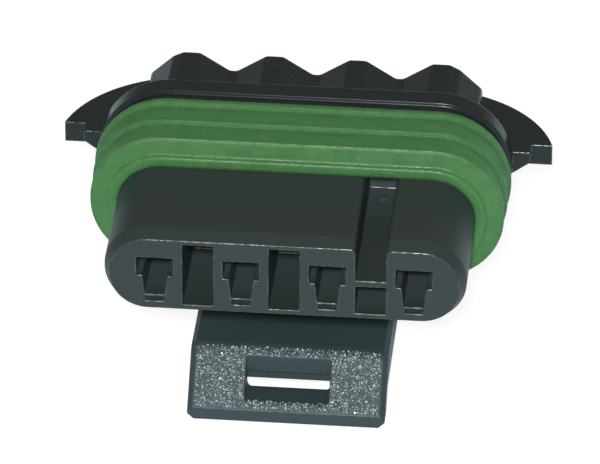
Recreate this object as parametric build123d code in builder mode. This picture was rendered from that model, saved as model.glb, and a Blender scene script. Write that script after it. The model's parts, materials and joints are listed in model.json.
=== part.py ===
from build123d import *
import math
import os

# Sealed four-way automotive connector: the socket half that takes four female terminals.
# A housing moulded in one piece, with its latch arm, and a ribbed silicone seal round its nose.
# Millimetres. +X runs along the row of ways, +Y from the mating face to the wire side, +Z up.
# The origin is under the middle of the housing, on the surface that it stands on.

os.makedirs("parts", exist_ok=True)

# Driving dimensions
way_count = 4
way_pitch = 6.0
overall_length = 25.0       # mating face to wire face
cut_overrun = 1.0           # how far a cut runs past the face it starts from

# Nose, which enters the header
nose_width = 25.2
nose_height = 6.4
nose_end_radius = 3.1
nose_bare_length = 8.9      # mating face to the front of the seal
nose_lead_length = 1.0
nose_lead_inset = 0.44

# Perimeter seal
seal_length = 6.0
seal_thickness = 2.2        # from the nose to the last and highest crest
seal_fit_gap = 0.02
seal_rib_count = 3
seal_first_crest = 0.8      # from the front of the seal
seal_rib_pitch = 2.3
seal_crest_rise = 0.1       # each crest stands higher than the one before it
seal_groove_depth = 0.14
seal_crest_width = 0.3
seal_flank_run = 0.1        # length over which a rib falls to the groove
seal_lip_thickness = 0.75
seal_step_back = 0.42       # small step in front of the first rib, behind the front of the lip
seal_step_rise = 0.32       # above the lip
seal_edge_round = 0.12

# Flange behind the seal
flange_width = 29.4
flange_height = 10.7
flange_end_radius = 5.25
flange_length = 2.55
flange_rim_length = 1.0
flange_rim_inset = 0.3
flange_edge_round = 0.12

# Rear body, a row of joined barrels under roof-shaped ridges
body_side_wall = 0.6        # outside the outermost barrel bore
ridge_height = 3.12         # above the row of ways
ridge_flat_width = 1.2
valley_height = 1.75
valley_width = 0.5
shoulder_height = 2.75      # where the outermost flank turns steeper
shoulder_run = 0.75
flank_height = 1.2
ridge_round = 0.6
mark_diameter = 0.9         # ejector mark on the second ridge
mark_depth = 0.06
mark_back = 24.15
marked_way = 1

# Bores for the cable seals and the channels for the terminals
seal_bore_diameter = 4.8
seal_bore_depth = 7.0
seal_bore_lead = 0.3
seal_bore_lead_angle = 45
channel_width = 2.56
channel_top = 1.3
channel_step = -0.15
channel_neck_width = 1.74
channel_foot_width = 1.4
channel_bottom = -1.67
pick_slot_width = 1.34      # slot for the release pick under each channel
pick_slot_height = 0.4
pick_slot_depth = 3.0
ledge_thickness = 0.15      # between a channel and its pick slot

# Core pockets between the channels, which keep the walls thin
core_width = 2.16
core_top = 2.46
core_bottom = -2.41
core_depth = 7.4

# Key slot along the top of the nose
key_ways_from_middle = 1    # how many pitches to the right of the middle
key_width = 2.16
key_floor = 0.26
key_floor_wall = 0.47       # from the floor of the slot to the pocket below it
key_length = 12.4           # from the mating face, to under the seal
key_edge_round = 0.32
gate_diameter = 0.7         # vestige of the gate on the floor of the slot
gate_height = 0.16
gate_taper = 50             # degrees
gate_back = 10.95

# Ears, the finger stops at both sides
ear_span = 34.9
ear_top = 0.8
ear_thickness = 1.58
ear_front = 18.35           # behind the mating face, at the tip
ear_length = 6.4
ear_bow_run = 1.95          # the middle point of the curved edge, inward
ear_bow_back = 3.8          # and back from the outer front corner
ear_tip_width = 1.5         # block at the tip, set back from the rest of the front edge
ear_tip_setback = 1.1
gusset_edge_depth = 0.82    # front of the ear beside the tip block, below the top
gusset_run = 1.45           # from there the lower edge slopes down and inward
gusset_depth = 1.9          # below the top

# Latch arm under the nose
arm_width = 13.95
arm_top = -8.4
arm_thickness = 2.42
arm_root_front = 19.6
arm_root_length = 2.6
arm_root_fillet = 1.2
flare_top = 4.4             # behind the mating face, where the arm turns down
flare_run = 3.1
flare_drop = 3.4
flare_thickness = 1.6
lip_height = 0.9
arm_edge_chamfer = 0.35
lip_corner_chamfer = 0.45
window_width = 5.95
window_back = 3.95
window_slit = 0.55          # below the arm, where the window runs through
window_catch_height = 0.6   # lower strip of the window's rear wall, set back a little
window_catch_setback = 0.18
window_corner_round = 0.35

# Worked out from the sizes above
mating_y = -overall_length / 2
seal_front = nose_bare_length
flange_front = seal_front + seal_length
body_front = flange_front + flange_length
row_half_span = way_pitch * (way_count - 1) / 2
way_places = [way_pitch * number - row_half_span for number in range(way_count)]
gap_places = [place + way_pitch / 2 for place in way_places[:-1]]
key_place = key_ways_from_middle * way_pitch
bore_radius = seal_bore_diameter / 2
body_half_width = row_half_span + bore_radius + body_side_wall
arm_bottom = arm_top - arm_thickness
window_ledge = arm_bottom - window_slit
flare_foot_height = arm_top - flare_drop
lip_bottom = flare_foot_height - lip_height
axis_height = -lip_bottom   # the lip is the lowest edge, so the row of ways is this high


def across(depth):
    """A plane that looks at the mating face, this far behind it, centred on the row of ways."""
    return Plane(origin=(0, mating_y + depth, axis_height), x_dir=(1, 0, 0), z_dir=(0, -1, 0))


def lengthwise(offset):
    """A plane that looks along the row: local x runs back from the mating face, local y up."""
    return Plane(origin=(offset, mating_y, axis_height), x_dir=(0, 1, 0), z_dir=(1, 0, 0))


def level(height):
    """A level plane at this height above the row, whose local y runs back from the mating face."""
    return Plane(origin=(0, mating_y, axis_height + height), x_dir=(1, 0, 0), z_dir=(0, 0, 1))


def ridge_outline():
    """The right half of one side of the rear body, from the middle out to the flank."""
    half_flat = ridge_flat_width / 2
    half_valley = valley_width / 2
    points = []
    for place in way_places:
        if place > 0:
            points.append((place - way_pitch / 2 + half_valley, valley_height))
            points.append((place - half_flat, ridge_height))
            points.append((place + half_flat, ridge_height))
            points.append((place + way_pitch / 2 - half_valley, valley_height))
    points = points[:-1]
    points.append((row_half_span + half_flat + shoulder_run, shoulder_height))
    points.append((body_half_width, flank_height))
    return points


# Housing: nose, flange, rear body, ears and latch arm in one moulding
with BuildPart() as housing:
    # Nose, lofted over its lead-in and then straight to the flange
    with BuildSketch(across(0)):
        RectangleRounded(
            nose_width - 2 * nose_lead_inset,
            nose_height - 2 * nose_lead_inset,
            nose_end_radius - nose_lead_inset,
        )
    with BuildSketch(across(nose_lead_length)):
        RectangleRounded(nose_width, nose_height, nose_end_radius)
    loft()
    with BuildSketch(across(nose_lead_length)):
        RectangleRounded(nose_width, nose_height, nose_end_radius)
    extrude(amount=nose_lead_length - flange_front)

    # Flange with a stepped rim where the seal bears on it
    with BuildSketch(across(flange_front)):
        RectangleRounded(
            flange_width - 2 * flange_rim_inset,
            flange_height - 2 * flange_rim_inset,
            flange_end_radius - flange_rim_inset,
        )
    extrude(amount=-flange_rim_length)
    with BuildSketch(across(flange_front + flange_rim_length)):
        RectangleRounded(flange_width, flange_height, flange_end_radius)
    extrude(amount=flange_rim_length - flange_length)
    flange_planes = [flange_front, flange_front + flange_rim_length, body_front]
    outer_edges = housing.edges().filter_by(
        lambda edge: min(abs(edge.center().Y - mating_y - depth) for depth in flange_planes) < seal_fit_gap
        and (abs(edge.center().X) > nose_width / 2 + flange_rim_inset
             or abs(edge.center().Z - axis_height) > nose_height / 2 + flange_rim_inset)
    )
    fillet(outer_edges, radius=flange_edge_round)

    # Rear body under its ridges
    with BuildSketch(across(body_front)) as body_section:
        with BuildLine():
            upper_right = ridge_outline()
            upper_left = [(-x, y) for x, y in reversed(upper_right)]
            lower_right = [(x, -y) for x, y in reversed(upper_right)]
            lower_left = [(-x, -y) for x, y in upper_right]
            Polyline(*upper_right, *lower_right, *lower_left, *upper_left, close=True)
        make_face()
        fillet(body_section.vertices(), radius=ridge_round)
    extrude(amount=body_front - overall_length)

    # Round ejector mark on one ridge
    with BuildSketch(level(ridge_height + cut_overrun)):
        with Locations((way_places[marked_way], mark_back)):
            Circle(mark_diameter / 2)
    extrude(amount=-(cut_overrun + mark_depth), mode=Mode.SUBTRACT)

    # Ears, drawn from above on one side and mirrored. The tip block stands back from the rest.
    tip_x = ear_span / 2
    step_x = tip_x - ear_tip_width
    root_x = body_half_width - body_side_wall
    ear_back = ear_front + ear_length
    inner_front = ear_front - ear_tip_setback
    with BuildSketch(level(ear_top)):
        with BuildLine():
            ThreePointArc(
                (tip_x, ear_front),
                (tip_x - ear_bow_run, ear_front + ear_bow_back),
                (body_half_width, ear_back),
            )
            Polyline(
                (body_half_width, ear_back),
                (root_x, ear_back),
                (root_x, ear_front),
                (tip_x, ear_front),
            )
        make_face()
        mirror(about=Plane.YZ)
    extrude(amount=-ear_thickness)

    # Front wall of each ear beside the tip, with its lower edge sloping down to the body
    with BuildSketch(across(inner_front)):
        with BuildLine():
            Polyline(
                (root_x, ear_top),
                (step_x, ear_top),
                (step_x, ear_top - gusset_edge_depth),
                (step_x - gusset_run, ear_top - gusset_depth),
                (root_x, ear_top - gusset_depth),
                close=True,
            )
        make_face()
        mirror(about=Plane.YZ)
    extrude(amount=-2 * ear_tip_setback)

    # Latch arm in side view: root, level arm, flare and lip
    slope = math.hypot(flare_run, flare_drop)
    rear_face_back = flare_thickness * slope / flare_drop
    flare_foot = flare_top - flare_run
    under_knee = flare_top + rear_face_back - arm_thickness * flare_run / flare_drop
    lip_back = flare_foot + rear_face_back - lip_height * flare_run / flare_drop
    with BuildSketch(lengthwise(-arm_width / 2)) as arm_section:
        with BuildLine():
            Polyline(
                (flare_top, arm_top),
                (flare_foot, flare_foot_height),
                (flare_foot, lip_bottom),
                (lip_back, lip_bottom),
                (under_knee, arm_bottom),
                (arm_root_front + arm_root_length, arm_bottom),
                (arm_root_front + arm_root_length, -valley_height),
                (arm_root_front, -valley_height),
                (arm_root_front, arm_top),
                close=True,
            )
        make_face()
        elbow = arm_section.vertices().sort_by_distance(
            (-arm_width / 2, mating_y + arm_root_front, axis_height + arm_top)
        )[0]
        fillet(elbow, radius=arm_root_fillet)
    extrude(amount=arm_width)

    # Softened long edges of the arm and the flare, and cut corners on the lip
    arm_sides = (
        housing.faces()
        .filter_by(Axis.X)
        .filter_by(lambda face: abs(abs(face.center().X) - arm_width / 2) < seal_fit_gap)
    )
    front_edges = arm_sides.edges().filter_by(
        lambda edge: edge.center().Y < mating_y + arm_root_front
        and edge.center().Z > axis_height + flare_foot_height
        and abs(edge.center().X) > arm_width / 2 - seal_fit_gap
        and (edge.center().Y < mating_y + flare_top or edge.center().Z > axis_height + arm_top - seal_fit_gap)
    )
    chamfer(front_edges, length=arm_edge_chamfer)
    lip_edges = housing.edges().filter_by(Axis.Y).filter_by(
        lambda edge: edge.center().Z < axis_height + lip_bottom + seal_fit_gap
    )
    chamfer(lip_edges, length=lip_corner_chamfer)

    # Catch window through the flare, with a square rear wall and a level ledge
    with BuildSketch(lengthwise(-window_width / 2)):
        with BuildLine():
            Polyline(
                (flare_foot - cut_overrun, arm_top),
                (window_back, arm_top),
                (window_back, arm_bottom + window_catch_height),
                (window_back + window_catch_setback, arm_bottom + window_catch_height),
                (window_back + window_catch_setback, arm_bottom),
                (under_knee + cut_overrun, arm_bottom),
                (under_knee + cut_overrun, window_ledge),
                (flare_foot - cut_overrun, window_ledge),
                close=True,
            )
        make_face()
    extrude(amount=window_width, mode=Mode.SUBTRACT)
    window_corners = housing.edges().filter_by(Axis.Y).filter_by(
        lambda edge: abs(abs(edge.center().X) - window_width / 2) < seal_fit_gap
        and abs(edge.center().Z - axis_height - window_ledge) < seal_fit_gap
    )
    fillet(window_corners, radius=window_corner_round)

    # Bores for the cable seals, from the wire side
    with BuildSketch(across(overall_length - seal_bore_depth)):
        with Locations(*[(place, 0) for place in way_places]):
            Circle(bore_radius)
    extrude(amount=-(seal_bore_depth + cut_overrun), mode=Mode.SUBTRACT)

    with BuildSketch(across(overall_length)):
        with Locations(*[(place, 0) for place in way_places]):
            Circle(bore_radius + seal_bore_lead)
    extrude(amount=seal_bore_lead, taper=seal_bore_lead_angle, mode=Mode.SUBTRACT)

    # Terminal channels, wide above for the box and narrow below for its lance
    channel_length = overall_length - seal_bore_depth
    with BuildSketch(across(-cut_overrun)):
        for place in way_places:
            with BuildLine():
                Polyline(
                    (place - channel_width / 2, channel_top),
                    (place + channel_width / 2, channel_top),
                    (place + channel_width / 2, channel_step),
                    (place + channel_neck_width / 2, channel_step),
                    (place + channel_foot_width / 2, channel_bottom),
                    (place - channel_foot_width / 2, channel_bottom),
                    (place - channel_neck_width / 2, channel_step),
                    (place - channel_width / 2, channel_step),
                    close=True,
                )
            make_face()
    extrude(amount=-(channel_length + cut_overrun), mode=Mode.SUBTRACT)

    # Slots for the release pick, just under the channels
    pick_slot_middle = channel_bottom - ledge_thickness - pick_slot_height / 2
    with BuildSketch(across(-cut_overrun)):
        with Locations(*[(place, pick_slot_middle) for place in way_places]):
            Rectangle(pick_slot_width, pick_slot_height)
    extrude(amount=-(pick_slot_depth + cut_overrun), mode=Mode.SUBTRACT)

    # Core pockets, a short one where the key slot runs above
    with BuildSketch(across(-cut_overrun)):
        for place in gap_places:
            pocket_top = core_top
            if abs(place - key_place) < core_width:
                pocket_top = key_floor - key_floor_wall
            with Locations((place, (pocket_top + core_bottom) / 2)):
                Rectangle(core_width, pocket_top - core_bottom)
    extrude(amount=-(core_depth + cut_overrun), mode=Mode.SUBTRACT)

    # Key slot, open at the top and in front, with rounded brims
    nose_top = nose_height / 2
    with BuildSketch(across(-cut_overrun)):
        with Locations((key_place, (key_floor + nose_top + cut_overrun) / 2)):
            Rectangle(key_width, nose_top + cut_overrun - key_floor)
    extrude(amount=-(key_length + cut_overrun), mode=Mode.SUBTRACT)
    brims = housing.edges().filter_by(
        lambda edge: abs(abs(edge.center().X - key_place) - key_width / 2) < seal_fit_gap
        and edge.center().Y < mating_y + key_length - cut_overrun
        and edge.center().Z > axis_height + nose_top - nose_lead_inset
    )
    fillet(brims, radius=key_edge_round)

    # Low round vestige of the gate on the floor of the key slot
    with BuildSketch(level(key_floor)):
        with Locations((key_place, gate_back)):
            Circle(gate_diameter / 2)
    extrude(amount=gate_height, taper=gate_taper)

housing.part.label = "housing"
export_step(housing.part, "parts/housing.step")


# Perimeter seal: one silicone ring, its ribbed section carried round the nose
with BuildPart() as perimeter_seal:
    inner = nose_height / 2 + seal_fit_gap
    last_crest = nose_height / 2 + seal_thickness
    seal_back = seal_front + seal_length
    with BuildSketch(lengthwise(0)) as seal_section:
        with BuildLine():
            step_back = seal_front + seal_step_back
            step_top = inner + seal_lip_thickness + seal_step_rise
            outline = [(seal_front, inner), (seal_front, inner + seal_lip_thickness)]
            outline.append((step_back, inner + seal_lip_thickness))
            outline.append((step_back, step_top))
            for rib in range(seal_rib_count):
                middle = seal_front + seal_first_crest + rib * seal_rib_pitch
                crest = last_crest - seal_crest_rise * (seal_rib_count - 1 - rib)
                outline.append((middle - seal_crest_width / 2, crest))
                outline.append((middle + seal_crest_width / 2, crest))
                rib_foot = seal_crest_width / 2 + seal_flank_run
                if rib < seal_rib_count - 1:
                    outline.append((middle + rib_foot, crest - seal_groove_depth))
                    outline.append((middle + seal_rib_pitch - rib_foot, crest - seal_groove_depth))
            outline.append((seal_back, last_crest - seal_groove_depth))
            outline.append((seal_back, inner))
            Polyline(*outline, close=True)
        make_face()
        rounded = seal_section.vertices().filter_by(
            lambda corner: corner.Z > axis_height + inner + seal_fit_gap
        )
        fillet(rounded, radius=seal_edge_round)
    with BuildLine(across(seal_front)) as seal_path:
        straight = nose_width / 2 - nose_end_radius
        upright = nose_height / 2 - nose_end_radius
        half_width = nose_width / 2 + seal_fit_gap
        half_height = inner
        bend = nose_end_radius + seal_fit_gap
        Line((0, half_height), (straight, half_height))
        RadiusArc((straight, half_height), (half_width, upright), bend)
        Line((half_width, upright), (half_width, -upright))
        RadiusArc((half_width, -upright), (straight, -half_height), bend)
        Line((straight, -half_height), (-straight, -half_height))
        RadiusArc((-straight, -half_height), (-half_width, -upright), bend)
        Line((-half_width, -upright), (-half_width, upright))
        RadiusArc((-half_width, upright), (-straight, half_height), bend)
        Line((-straight, half_height), (0, half_height))
    sweep(sections=seal_section.sketch, path=seal_path.wire())

perimeter_seal.part.label = "perimeter_seal"
export_step(perimeter_seal.part, "parts/perimeter_seal.step")
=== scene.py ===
# %% [markdown]
# # A sealed four-way automotive connector
#
# The object is a black moulded housing with a green silicone seal round its nose. The solids come
# from the imported model, which holds their sizes. This lesson gives them their surfaces: moulded
# plastic, silicone, and the sparkling grip on the latch. First the frame is loaded.

# %% Load the frame
import json
import math

import bpy
from mathutils import Matrix, Vector


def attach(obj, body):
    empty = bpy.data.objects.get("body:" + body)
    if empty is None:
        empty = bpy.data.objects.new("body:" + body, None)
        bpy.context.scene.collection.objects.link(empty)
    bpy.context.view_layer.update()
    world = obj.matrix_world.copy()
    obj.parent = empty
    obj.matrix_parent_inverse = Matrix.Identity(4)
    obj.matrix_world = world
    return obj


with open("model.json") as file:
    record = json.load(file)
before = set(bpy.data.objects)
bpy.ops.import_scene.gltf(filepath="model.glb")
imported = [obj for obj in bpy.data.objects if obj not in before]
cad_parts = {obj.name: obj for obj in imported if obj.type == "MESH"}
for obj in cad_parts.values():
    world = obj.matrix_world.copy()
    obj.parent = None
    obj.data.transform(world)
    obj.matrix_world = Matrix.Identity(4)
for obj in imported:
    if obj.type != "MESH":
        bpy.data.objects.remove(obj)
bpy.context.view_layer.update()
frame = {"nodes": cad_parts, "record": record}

MM = 0.001
housing = frame["nodes"]["housing"]
perimeter_seal = frame["nodes"]["perimeter_seal"]
mounts = {mount["name"]: Vector(mount["pos_m"]) for mount in frame["record"]["mounts"]}
mating_y = mounts["header_nose"].y
row_z = mounts["header_nose"].z


# %% [markdown]
# ## A way to name places
#
# The drawing of a connector often measures from its mating face and from the row of ways.
# One function turns such a place, in millimetres, into the frame's metres, so that the sizes
# below read like one.

# %% Places on the part
def place(across, back, up):
    """A point this far along the row, behind the mating face and above the row of ways, in mm."""
    return Vector((across * MM, mating_y + back * MM, row_z + up * MM))


print("mating face at y, mm:", round(mating_y / MM, 2), "row at z, mm:", round(row_z / MM, 2))

# %% [markdown]
# ## The camera
#
# A small part is often photographed with a long lens from some way off, so that its lines hardly
# run together. Here the camera looks down at the mating face by 32 degrees and a little from the
# side. Its values were fitted to points of the photograph, and its scale rests on an assumed
# pitch of 6 mm between the ways. Its three axes are built from those angles and handed over as
# one matrix, which is clearer than three chained rotations.

# %% Camera
ELEVATION = math.radians(32.0)
TURN = math.radians(5.17)
ROLL = math.radians(0.16)
DISTANCE_MM = 482.7
PIXELS_PER_MM = 14.39
PHOTO_WIDTH = 600
SENSOR_WIDTH = 36.0
NEAREST = 10 * MM
aim = place(0.74, 4.0, 1.51)

to_right = Vector((math.cos(TURN), math.sin(TURN), 0))
ahead = Vector((
    -math.sin(TURN) * math.cos(ELEVATION),
    math.cos(TURN) * math.cos(ELEVATION),
    -math.sin(ELEVATION),
))
upward = to_right.cross(ahead)
camera_x = to_right * math.cos(ROLL) + upward * math.sin(ROLL)
camera_y = upward * math.cos(ROLL) - to_right * math.sin(ROLL)
camera_place = aim - ahead * DISTANCE_MM * MM

camera_data = bpy.data.cameras.new("product_camera")
camera_data.sensor_width = SENSOR_WIDTH
camera_data.lens = PIXELS_PER_MM * DISTANCE_MM * SENSOR_WIDTH / PHOTO_WIDTH
camera_data.clip_start = NEAREST
camera = bpy.data.objects.new("product_camera", camera_data)
bpy.context.scene.collection.objects.link(camera)
turned = Matrix((camera_x, camera_y, -ahead)).transposed()
camera.matrix_world = Matrix.Translation(camera_place) @ turned.to_4x4()
bpy.context.scene.camera = camera
print("lens, mm:", round(camera_data.lens, 1))


# %% [markdown]
# ## Helpers for colour and nodes
#
# Colours are written as sRGB hex values, the way they are picked from a swatch. A renderer adds
# light in linear values, so one function turns them round. A second small function adds a node,
# sets what it is given and makes its links, which keeps each material short enough to read.

# %% Colour and node helpers
def colour(hex_value):
    """An sRGB hex colour as linear values, opaque."""
    channels = [int(hex_value[i:i + 2], 16) / 255 for i in (1, 3, 5)]
    linear = [c / 12.92 if c <= 0.04045 else ((c + 0.055) / 1.055) ** 2.4 for c in channels]
    return (*linear, 1.0)


def add(tree, kind, inputs=None, links=None, **settings):
    """Adds a node, sets its properties and sockets, and links the sockets that are given."""
    node = tree.nodes.new(kind)
    for name, value in settings.items():
        setattr(node, name, value)
    for socket, value in (inputs or {}).items():
        node.inputs[socket].default_value = value
    for socket, source in (links or {}).items():
        tree.links.new(source, node.inputs[socket])
    return node


def new_material(name, constants):
    """A material with a shader whose constant sockets are set, and its output."""
    material = bpy.data.materials.new(name)
    material.use_nodes = True
    tree = material.node_tree
    tree.nodes.clear()
    shader = add(tree, "ShaderNodeBsdfPrincipled", constants)
    add(tree, "ShaderNodeOutputMaterial", links={"Surface": shader.outputs["BSDF"]})
    return material, tree, shader


def dress(node_object, material):
    """Gives every face of a CAD node this material, through the slots that it already has."""
    if not node_object.material_slots:
        node_object.data.materials.append(material)
    for slot in node_object.material_slots:
        slot.material = material
    print(node_object.name, "wears", material.name)


# %% [markdown]
# ## Black glass-filled moulding
#
# Housings of this kind are usually moulded in a stiff polyester with short glass fibres. The
# photograph cannot tell which plastic this one is, but it fits that. Its nose and latch are satin
# and a little grey, as from a finely eroded tool. The flange and the barrels behind it are
# blacker and their edges glint, as from polished steel. One material holds both finishes and
# changes over behind the seal, where the tool's halves would meet.
#
# No moulded edge is sharp. A Bevel node rounds the shading there by a fifth of a millimetre or
# less, and the same rounding drives a mask: where the normal turns away from the face, a thin
# coat catches the light. Worn spots in the mask break that line into dots, as a real edge does.

# %% Edge mask
WORN_SPOT = 0.32 * MM
FACE_ENDS = 0.99
EDGE_FULL = 0.93
WORN_FROM, WORN_TO = 0.44, 0.56
WORN_LEAST = 0.1


def edge_mask(tree, rounded):
    """Nearly one on the edges of a moulding, broken into dots, and zero on its faces."""
    facing = add(tree, "ShaderNodeNewGeometry").outputs["Normal"]
    alike = add(tree, "ShaderNodeVectorMath", operation="DOT_PRODUCT",
                links={0: rounded.outputs["Normal"], 1: facing})
    bent = add(tree, "ShaderNodeMapRange", {"From Min": FACE_ENDS, "From Max": EDGE_FULL},
               {"Value": alike.outputs["Value"]})
    where = add(tree, "ShaderNodeTexCoord").outputs["Object"]
    worn = add(tree, "ShaderNodeTexNoise", {"Scale": 1 / WORN_SPOT, "Detail": 1.0},
               {"Vector": where})
    broken = add(tree, "ShaderNodeMapRange",
                 {"From Min": WORN_FROM, "From Max": WORN_TO, "To Min": WORN_LEAST},
                 {"Value": worn.outputs["Fac"]})
    return add(tree, "ShaderNodeMath", operation="MULTIPLY",
               links={0: bent.outputs["Result"], 1: broken.outputs["Result"]})


print("a mask rises where the normal turns by more than",
      round(math.degrees(math.acos(FACE_ENDS))), "degrees")

# %% [markdown]
# Two corrections come from the photograph alone. Its deep recesses and its latch are paler than
# one even black gives. Both are painted light, which matches the picture and is no finish of the
# part: the recesses are painted paler where the lamps leave them dark, and the latch is painted
# paler and bluer, as light bounced from below would make it. An Ambient Occlusion node finds the
# recesses by how little of their surroundings is open.

# %% Housing colour
RECESS_REACH = 5.0 * MM
RECESS_FROM, RECESS_FULL = 0.36, 0.05
RECESS_PAINTED_LIGHT = 0.24
LATCH_FROM = place(0, 0, -5.5).z
LATCH_FULL = place(0, 0, -7.5).z


def moulding_colour(tree, apart, fibres, polished):
    """The black of each part of the housing with its grain, and painted light on recesses and
    latch.
    """
    # Painted bounce light: the black turns paler and bluer towards the latch, as light from below
    # would.
    painted_bounce_share = add(tree, "ShaderNodeMapRange", {"From Min": LATCH_FROM, "From Max": LATCH_FULL},
              {"Value": apart.outputs["Z"]})
    dark = add(tree, "ShaderNodeMix", {"A": colour("#2F3737"), "B": colour("#354346")},
               {"Factor": painted_bounce_share.outputs["Result"]}, data_type="RGBA")
    light = add(tree, "ShaderNodeMix", {"A": colour("#3E4646"), "B": colour("#465457")},
                {"Factor": painted_bounce_share.outputs["Result"]}, data_type="RGBA")
    satin = add(tree, "ShaderNodeMix", data_type="RGBA",
                links={"Factor": fibres.outputs["Fac"], "A": dark.outputs["Result"],
                       "B": light.outputs["Result"]})
    gloss = add(tree, "ShaderNodeMix", {"A": colour("#212828"), "B": colour("#2E3535")},
                {"Factor": fibres.outputs["Fac"]}, data_type="RGBA")
    skin = add(tree, "ShaderNodeMix", data_type="RGBA",
               links={"Factor": polished.outputs["Result"], "A": satin.outputs["Result"],
                      "B": gloss.outputs["Result"]})
    # Painted light in the recesses: where little around is open, the colour is mixed towards pale
    # grey.
    openness = add(tree, "ShaderNodeAmbientOcclusion", {"Distance": RECESS_REACH}, samples=8)
    recess_share = add(tree, "ShaderNodeMapRange",
                 {"From Min": RECESS_FROM, "From Max": RECESS_FULL, "To Max": RECESS_PAINTED_LIGHT},
                 {"Value": openness.outputs["AO"]})
    painted_recess_light = add(tree, "ShaderNodeMix", {"B": colour("#6F8083")},
                 {"Factor": recess_share.outputs["Result"], "A": skin.outputs["Result"]},
                 data_type="RGBA")
    return painted_recess_light.outputs["Result"]


print("the latch's tone begins at z, mm:", round(LATCH_FROM / MM, 2))

# %% [markdown]
# The material takes that colour, and turns from satin to polished behind the seal. Polyester has
# an IOR of about 1.55. Its sheen is kept low, as an eroded skin scatters it. Glass fibres are about
# a hundredth of a millimetre thick, too fine to show, so their grain is drawn coarser, at 0.16 mm,
# as a faint tone and a faint relief. The slow marks stand for those of a melt as it flows.

# %% Housing material
POLISH_FROM = place(0, 14.6, 0).y
POLISH_TO = place(0, 15.2, 0).y
FIBRE_GRAIN = 0.16 * MM
FLOW_MARK = 3.5 * MM
HOUSING_EDGE = 0.18 * MM
GRAIN_RELIEF = 0.012 * MM


def black_moulding():
    """The housing's plastic: satin on the nose and latch, glossier and blacker behind the seal."""
    material, tree, shader = new_material(
        "black_glass_filled_polyester",
        {"IOR": 1.55, "Specular IOR Level": 0.25, "Coat Roughness": 0.28, "Coat IOR": 2.0})
    where = add(tree, "ShaderNodeTexCoord").outputs["Object"]
    apart = add(tree, "ShaderNodeSeparateXYZ", links={"Vector": where})
    polished = add(tree, "ShaderNodeMapRange", {"From Min": POLISH_FROM, "From Max": POLISH_TO},
                   {"Value": apart.outputs["Y"]})
    fibres = add(tree, "ShaderNodeTexNoise", {"Scale": 1 / FIBRE_GRAIN, "Detail": 3.0},
                 {"Vector": where})
    flow = add(tree, "ShaderNodeTexNoise", {"Scale": 1 / FLOW_MARK, "Detail": 3.0},
               {"Vector": where})
    satin_rough = add(tree, "ShaderNodeMapRange", {"To Min": 0.36, "To Max": 0.5},
                      {"Value": flow.outputs["Fac"]})
    rough = add(tree, "ShaderNodeMapRange", {"To Max": 0.19},
                {"Value": polished.outputs["Result"], "To Min": satin_rough.outputs["Result"]})
    rounded = add(tree, "ShaderNodeBevel", {"Radius": HOUSING_EDGE}, samples=16)
    edge = edge_mask(tree, rounded)
    relief = add(tree, "ShaderNodeBump", {"Strength": 0.25, "Distance": GRAIN_RELIEF},
                 {"Height": fibres.outputs["Fac"], "Normal": rounded.outputs["Normal"]})
    skin = moulding_colour(tree, apart, fibres, polished)
    tree.links.new(skin, shader.inputs["Base Color"])
    tree.links.new(rough.outputs["Result"], shader.inputs["Roughness"])
    tree.links.new(edge.outputs[0], shader.inputs["Coat Weight"])
    tree.links.new(rounded.outputs["Normal"], shader.inputs["Coat Normal"])
    tree.links.new(relief.outputs["Normal"], shader.inputs["Normal"])
    return material


dress(housing, black_moulding())


# %% [markdown]
# ## Green silicone
#
# A seal of this kind is usually liquid silicone. That is soft and slightly oily, so its highlights
# are wide and low, and a little light enters it and comes back, which lifts the colour in the
# grooves. The highlights on the ribs break into dots in the photograph. Here a grain does that,
# which stands for fine dust and for the skin of the tool. Silicone has an IOR of 1.41, and light
# is let travel about half a millimetre in it. Real dust is mostly finer than 0.14 mm, and it is
# drawn as coarse as it needs to show. The ribs look soft: a wider Bevel blends the shading of
# each crest into its groove, and only the thin coat keeps a crisp line.

# %% Seal material
BLOOM_PATCH = 0.9 * MM
DUST_SPECK = 0.14 * MM
SEAL_EDGE = 0.15 * MM
RIB_SOFTNESS = 0.5 * MM
SCATTER_DEPTH = 0.6 * MM
DUST_RELIEF = 0.012 * MM


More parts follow.
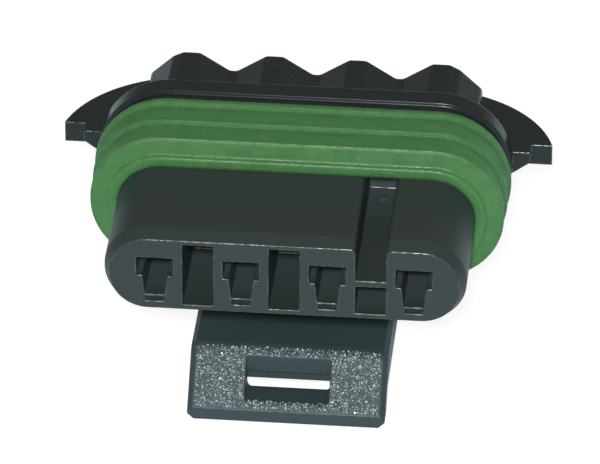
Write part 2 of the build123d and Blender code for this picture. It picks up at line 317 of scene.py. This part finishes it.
def green_silicone():
    """Green silicone rubber: wide low highlights, slow changes of tone and fine pale specks."""
    material, tree, shader = new_material(
        "green_silicone",
        {"IOR": 1.41, "Specular IOR Level": 0.3, "Coat Roughness": 0.3, "Coat IOR": 1.75,
         "Subsurface Weight": 0.5, "Subsurface Scale": SCATTER_DEPTH,
         "Subsurface Radius": (0.8, 1.0, 0.8)})
    where = add(tree, "ShaderNodeTexCoord").outputs["Object"]
    bloom = add(tree, "ShaderNodeTexNoise", {"Scale": 1 / BLOOM_PATCH, "Detail": 4.0},
                {"Vector": where})
    grain = add(tree, "ShaderNodeTexNoise", {"Scale": 1 / DUST_SPECK, "Detail": 2.0},
                {"Vector": where})
    tone = add(tree, "ShaderNodeMix", {"A": colour("#3A7640"), "B": colour("#60915A")},
               {"Factor": bloom.outputs["Fac"]}, data_type="RGBA")
    specks = add(tree, "ShaderNodeMapRange", {"From Min": 0.66, "From Max": 0.74, "To Max": 0.35},
                 {"Value": grain.outputs["Fac"]})
    dusty = add(tree, "ShaderNodeMix", {"B": colour("#B9CDB4")},
                {"Factor": specks.outputs["Result"], "A": tone.outputs["Result"]},
                data_type="RGBA")
    rough = add(tree, "ShaderNodeMapRange", {"To Min": 0.34, "To Max": 0.48},
                {"Value": bloom.outputs["Fac"]})
    rounded = add(tree, "ShaderNodeBevel", {"Radius": SEAL_EDGE}, samples=16)
    edge = edge_mask(tree, rounded)
    soft = add(tree, "ShaderNodeBevel", {"Radius": RIB_SOFTNESS}, samples=16)
    relief = add(tree, "ShaderNodeBump", {"Strength": 0.4, "Distance": DUST_RELIEF},
                 {"Height": grain.outputs["Fac"], "Normal": soft.outputs["Normal"]})
    tree.links.new(dusty.outputs["Result"], shader.inputs["Base Color"])
    tree.links.new(rough.outputs["Result"], shader.inputs["Roughness"])
    tree.links.new(edge.outputs[0], shader.inputs["Coat Weight"])
    tree.links.new(rounded.outputs["Normal"], shader.inputs["Coat Normal"])
    tree.links.new(relief.outputs["Normal"], shader.inputs["Normal"])
    return material


dress(perimeter_seal, green_silicone())


# %% [markdown]
# ## The grip on the latch
#
# The flare at the front of the latch arm is where a finger presses. It sparkles in the
# photograph, as plastic does from a tool deeply eroded with sparks: a field of blunt crystals.
# Bump alone would look painted on from the side, so each grain is real: Geometry Nodes scatter
# points over the flare, keep them a set distance apart, and put a small rough-cut crystal on
# each. A crystal's middle lies on the flare, so half of it is sunk, as the plastic is one
# moulding with its grains. The field's sizes were read off the photograph with the fitted camera.
# A grain there is only a pixel or two wide, so the size of the grains is a guess.

# %% Grip sizes
FLARE_TOP = place(0, 4.4, -8.4)
FLARE_FOOT = place(0, 1.3, -11.8)
GRIP_WIDTH = 12.95 * MM
GRIP_TOP_MARGIN = 0.02 * MM
GRIP_FOOT_MARGIN = 0.18 * MM
WINDOW_WIDTH = 6.15 * MM
WINDOW_TOP = 0.62 * MM
WINDOW_FOOT = 3.86 * MM
GRAIN_SIZE = 0.078 * MM
GRAIN_SPACING = 0.105 * MM
GRAIN_SEED = 7
TRIES_PER_PLACE = 1.6
LEAST_SHARE, MOST_SHARE = 0.55, 1.1
PALE_IS_RARE = 1.5

down_slope = (FLARE_FOOT - FLARE_TOP).normalized()
flare_length = (FLARE_FOOT - FLARE_TOP).length
flare_normal = Vector((1, 0, 0)).cross(down_slope)
if flare_normal.z < 0:
    flare_normal = -flare_normal
print("flare length, mm:", round(flare_length / MM, 2))


# %% [markdown]
# The field is drawn as four strips round the catch window, so that no grain has to be dropped
# later. The grains are the same plastic as the housing. Each has a shade of its own, from dark
# to pale grey, because a rough crystal either faces the light or turns from it.

# %% Pad under the grains
def on_flare(across, along):
    """A point on the flare, this far from its middle and down its slope from the knee, in m."""
    return FLARE_TOP + Vector((across, 0, 0)) + down_slope * along


def pad_strips():
    """The field of the grip as four flat strips round the catch window."""
    half, inner = GRIP_WIDTH / 2, WINDOW_WIDTH / 2
    top, foot = GRIP_TOP_MARGIN, flare_length - GRIP_FOOT_MARGIN
    strips = [(-half, -inner, top, foot), (inner, half, top, foot),
              (-inner, inner, top, WINDOW_TOP), (-inner, inner, WINDOW_FOOT, foot)]
    points, faces = [], []
    for left, right, upper, lower in strips:
        first = len(points)
        points += [on_flare(left, lower), on_flare(right, lower),
                   on_flare(right, upper), on_flare(left, upper)]
        faces.append((first, first + 1, first + 2, first + 3))
    mesh = bpy.data.meshes.new("grip_field")
    mesh.from_pydata(points, [], faces)
    return mesh


def grip_material():
    """The housing's plastic from a spark-eroded tool: glinting facets, with painted light and
    shade.
    """
    material, tree, shader = new_material(
        "spark_eroded_polyester", {"IOR": 1.55, "Specular IOR Level": 0.9})
    each = add(tree, "ShaderNodeNewGeometry").outputs["Random Per Island"]
    painted_facet_light = add(tree, "ShaderNodeMath", {1: PALE_IS_RARE}, {0: each}, operation="POWER")
    tone = add(tree, "ShaderNodeMix", {"A": colour("#3F5256"), "B": colour("#D3E4E3")},
               {"Factor": painted_facet_light.outputs[0]}, data_type="RGBA")
    rough = add(tree, "ShaderNodeMapRange", {"To Min": 0.4, "To Max": 0.18}, {"Value": each})
    tree.links.new(tone.outputs["Result"], shader.inputs["Base Color"])
    tree.links.new(rough.outputs["Result"], shader.inputs["Roughness"])
    return material


grip_finish = grip_material()
print("grip strips:", len(pad_strips().polygons))


# %% [markdown]
# The tree has three named inputs: the size of a grain, the least distance between two, and the
# seed. It ends in Realize Instances and Set Material, so that the result is one plain mesh that
# already wears its finish.

# %% Grain tree
def grain_tree():
    """Scatters rough-cut crystals over a surface, evenly spaced and randomly turned."""
    tree = bpy.data.node_groups.new("grip_grains", "GeometryNodeTree")
    face = tree.interface
    face.new_socket("Geometry", in_out="INPUT", socket_type="NodeSocketGeometry")
    face.new_socket("Grain size", in_out="INPUT", socket_type="NodeSocketFloat")
    face.new_socket("Spacing", in_out="INPUT", socket_type="NodeSocketFloat")
    face.new_socket("Seed", in_out="INPUT", socket_type="NodeSocketInt")
    face.new_socket("Geometry", in_out="OUTPUT", socket_type="NodeSocketGeometry")
    given = add(tree, "NodeGroupInput")
    density = add(tree, "ShaderNodeMath", {0: TRIES_PER_PLACE}, operation="DIVIDE")
    square = add(tree, "ShaderNodeMath", operation="MULTIPLY",
                 links={0: given.outputs["Spacing"], 1: given.outputs["Spacing"]})
    tree.links.new(square.outputs[0], density.inputs[1])
    points = add(tree, "GeometryNodeDistributePointsOnFaces", distribute_method="POISSON",
                 links={"Mesh": given.outputs["Geometry"],
                        "Distance Min": given.outputs["Spacing"],
                        "Density Max": density.outputs[0], "Seed": given.outputs["Seed"]})
    crystal = add(tree, "GeometryNodeMeshIcoSphere", {"Subdivisions": 1},
                  {"Radius": given.outputs["Grain size"]})
    turn = add(tree, "FunctionNodeRandomValue", data_type="FLOAT_VECTOR",
               links={"Seed": given.outputs["Seed"]})
    turn.inputs["Max"].default_value = (math.tau, math.tau, math.tau)
    size = add(tree, "FunctionNodeRandomValue", data_type="FLOAT",
               links={"Seed": given.outputs["Seed"]})
    size.inputs[2].default_value = LEAST_SHARE
    size.inputs[3].default_value = MOST_SHARE
    grains = add(tree, "GeometryNodeInstanceOnPoints",
                 links={"Points": points.outputs["Points"], "Instance": crystal.outputs["Mesh"],
                        "Rotation": turn.outputs["Value"], "Scale": size.outputs[1]})
    real = add(tree, "GeometryNodeRealizeInstances", links={"Geometry": grains.outputs[0]})
    finish = add(tree, "GeometryNodeSetMaterial", {"Material": grip_finish},
                 {"Geometry": real.outputs["Geometry"]})
    add(tree, "NodeGroupOutput", links={"Geometry": finish.outputs["Geometry"]})
    return tree


def set_input(modifier, name, value):
    """Sets a modifier's named input, which Blender stores under the socket's identifier."""
    for item in modifier.node_group.interface.items_tree:
        if item.item_type == "SOCKET" and item.in_out == "INPUT" and item.name == name:
            modifier[item.identifier] = value


def grow_grains():
    """The grip as one plain mesh of closed grains."""
    field = bpy.data.objects.new("grip_field", pad_strips())
    bpy.context.scene.collection.objects.link(field)
    modifier = field.modifiers.new("grains", "NODES")
    modifier.node_group = grain_tree()
    set_input(modifier, "Grain size", GRAIN_SIZE)
    set_input(modifier, "Spacing", GRAIN_SPACING)
    set_input(modifier, "Seed", GRAIN_SEED)
    seen = bpy.context.evaluated_depsgraph_get()
    mesh = bpy.data.meshes.new_from_object(field.evaluated_get(seen))
    bpy.data.objects.remove(field)
    mesh.name = "grip_grains"
    grip = bpy.data.objects.new("grip_grains", mesh)
    bpy.context.scene.collection.objects.link(grip)
    return grip


grip_grains = grow_grains()
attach(grip_grains, "root")
print("grip triangles:", sum(len(p.vertices) - 2 for p in grip_grains.data.polygons))


# %% [markdown]
# ## The floor
#
# The part is shown on plain white. The floor is white to the camera by its own glow, with a
# little paint over it that takes the part's shadow. A mirror sees that white only in part, as
# black plastic would look grey if it reflected a whole white room. Every other ray meets a pale,
# slightly blue paint, whose bounce lights the lower parts as a table would.

# %% Floor
FLOOR_HALF = 0.6
FLOOR_GLOW = 0.85
SHADOW_PAINT = (0.35, 0.35, 0.35, 1)
BOUNCE_PAINT = (0.72, 0.94, 1.0, 1)
MIRRORED_SHARE = 0.18
WHITE = (1, 1, 1, 1)


def white_stage():
    """White to the camera, partly white in a mirror, and pale paint to every other ray."""
    material = bpy.data.materials.new("white_stage")
    material.use_nodes = True
    tree = material.node_tree
    tree.nodes.clear()
    path = add(tree, "ShaderNodeLightPath")
    shown = add(tree, "ShaderNodeMath", operation="MAXIMUM",
                links={0: path.outputs["Is Camera Ray"], 1: path.outputs["Is Transmission Ray"]})
    mirrored = add(tree, "ShaderNodeMath", {1: MIRRORED_SHARE},
                   {0: path.outputs["Is Glossy Ray"]}, operation="MULTIPLY")
    seen = add(tree, "ShaderNodeMath", operation="MAXIMUM",
               links={0: shown.outputs[0], 1: mirrored.outputs[0]})
    paint = add(tree, "ShaderNodeBsdfDiffuse", {"Color": BOUNCE_PAINT})
    faint = add(tree, "ShaderNodeBsdfDiffuse", {"Color": SHADOW_PAINT})
    glow = add(tree, "ShaderNodeEmission", {"Color": WHITE, "Strength": FLOOR_GLOW})
    white = add(tree, "ShaderNodeAddShader", links={0: faint.outputs[0], 1: glow.outputs[0]})
    mixed = add(tree, "ShaderNodeMixShader",
                links={0: seen.outputs[0], 1: paint.outputs[0], 2: white.outputs[0]})
    add(tree, "ShaderNodeOutputMaterial", links={"Surface": mixed.outputs[0]})
    return material


def floor_square(half_side):
    """A level square under the part."""
    corners = [(-half_side, -half_side, 0), (half_side, -half_side, 0),
               (half_side, half_side, 0), (-half_side, half_side, 0)]
    mesh = bpy.data.meshes.new("floor")
    mesh.from_pydata(corners, [], [(0, 1, 2, 3)])
    mesh.materials.append(white_stage())
    floor = bpy.data.objects.new("floor", mesh)
    bpy.context.scene.collection.objects.link(floor)
    return floor


floor = floor_square(FLOOR_HALF)
print("floor, m across:", 2 * FLOOR_HALF)

# %% [markdown]
# ## The room
#
# The camera sees the room as white too. To everything else the room is dim, and it only fills the
# shadows. Mirrors show a pale band near the horizon, as from a white sweep behind the part, and a
# dark room above it. Neither is an object: both belong to the world.

# %% Room
ROOM_STRENGTH = 0.15
BACKDROP_STRENGTH = 1.0
SWEEP_EDGE = 0.08
SWEEP_END = 0.2
SWEEP_STRENGTH = 0.17


def studio_world(dim, shown_strength):
    """A dim even room, white to the camera, with a pale band near the horizon in mirrors."""
    world = bpy.data.worlds.new("studio")
    world.use_nodes = True
    tree = world.node_tree
    tree.nodes.clear()
    path = add(tree, "ShaderNodeLightPath")
    shown = add(tree, "ShaderNodeMath", operation="MAXIMUM",
                links={0: path.outputs["Is Camera Ray"], 1: path.outputs["Is Transmission Ray"]})
    outward = add(tree, "ShaderNodeTexCoord").outputs["Generated"]
    apart = add(tree, "ShaderNodeSeparateXYZ", links={"Vector": outward})
    sweep = add(tree, "ShaderNodeMapRange",
                {"From Min": SWEEP_EDGE, "From Max": SWEEP_END, "To Min": 1.0, "To Max": 0.0},
                {"Value": apart.outputs["Z"]})
    pale = add(tree, "ShaderNodeMath", {1: SWEEP_STRENGTH}, {0: sweep.outputs["Result"]},
               operation="MULTIPLY")
    mirrored = add(tree, "ShaderNodeMath", operation="MULTIPLY",
                   links={0: path.outputs["Is Glossy Ray"], 1: pale.outputs[0]})
    seen = add(tree, "ShaderNodeMath", operation="MAXIMUM",
               links={0: shown.outputs[0], 1: mirrored.outputs[0]})
    strength = add(tree, "ShaderNodeMapRange", {"To Min": dim, "To Max": shown_strength},
                   {"Value": seen.outputs[0]})
    sky = add(tree, "ShaderNodeBackground", {"Color": WHITE},
              {"Strength": strength.outputs["Result"]})
    add(tree, "ShaderNodeOutputWorld", links={"Surface": sky.outputs[0]})
    bpy.context.scene.world = world


studio_world(ROOM_STRENGTH, BACKDROP_STRENGTH)
print("room strength:", ROOM_STRENGTH, "backdrop strength:", BACKDROP_STRENGTH)

# %% [markdown]
# ## The lamps
#
# The main lamp is a small flash just above and beside the lens. Its place is a guess, made because
# the tones then come close to the photograph's. There the part is cut out on white, so no cast
# shadow tells where the light was. A soft lamp behind the part shows its rear to anyone who walks
# round it. It stays out of reflections, so no stray highlight comes from it.

# %% Lamps
FLASH_ABOVE = 0.02
FLASH_LEFT = 0.015
FLASH_SIZE = 0.04
FLASH_POWER = 1.93
FILL_PLACE = Vector((0.14, 0.42, 0.14))
FILL_SIZE = 0.15
FILL_POWER = 0.7


def softbox(name, spot, size, power):
    """A square lamp that faces the part."""
    data = bpy.data.lights.new(name, "AREA")
    data.size = size
    data.energy = power
    lamp = bpy.data.objects.new(name, data)
    bpy.context.scene.collection.objects.link(lamp)
    lamp.location = spot
    lamp.rotation_euler = (aim - spot).to_track_quat("-Z", "Y").to_euler()
    print(name, "at, m:", [round(v, 2) for v in spot], "size, m:", size, "power, W:", power)
    return lamp


flash_place = camera_place + camera_y * FLASH_ABOVE - camera_x * FLASH_LEFT
softbox("camera_flash", flash_place, FLASH_SIZE, FLASH_POWER)
back_fill = softbox("back_fill", FILL_PLACE, FILL_SIZE, FILL_POWER)
back_fill.visible_glossy = False
bpy.context.scene.view_settings.view_transform = "Standard"
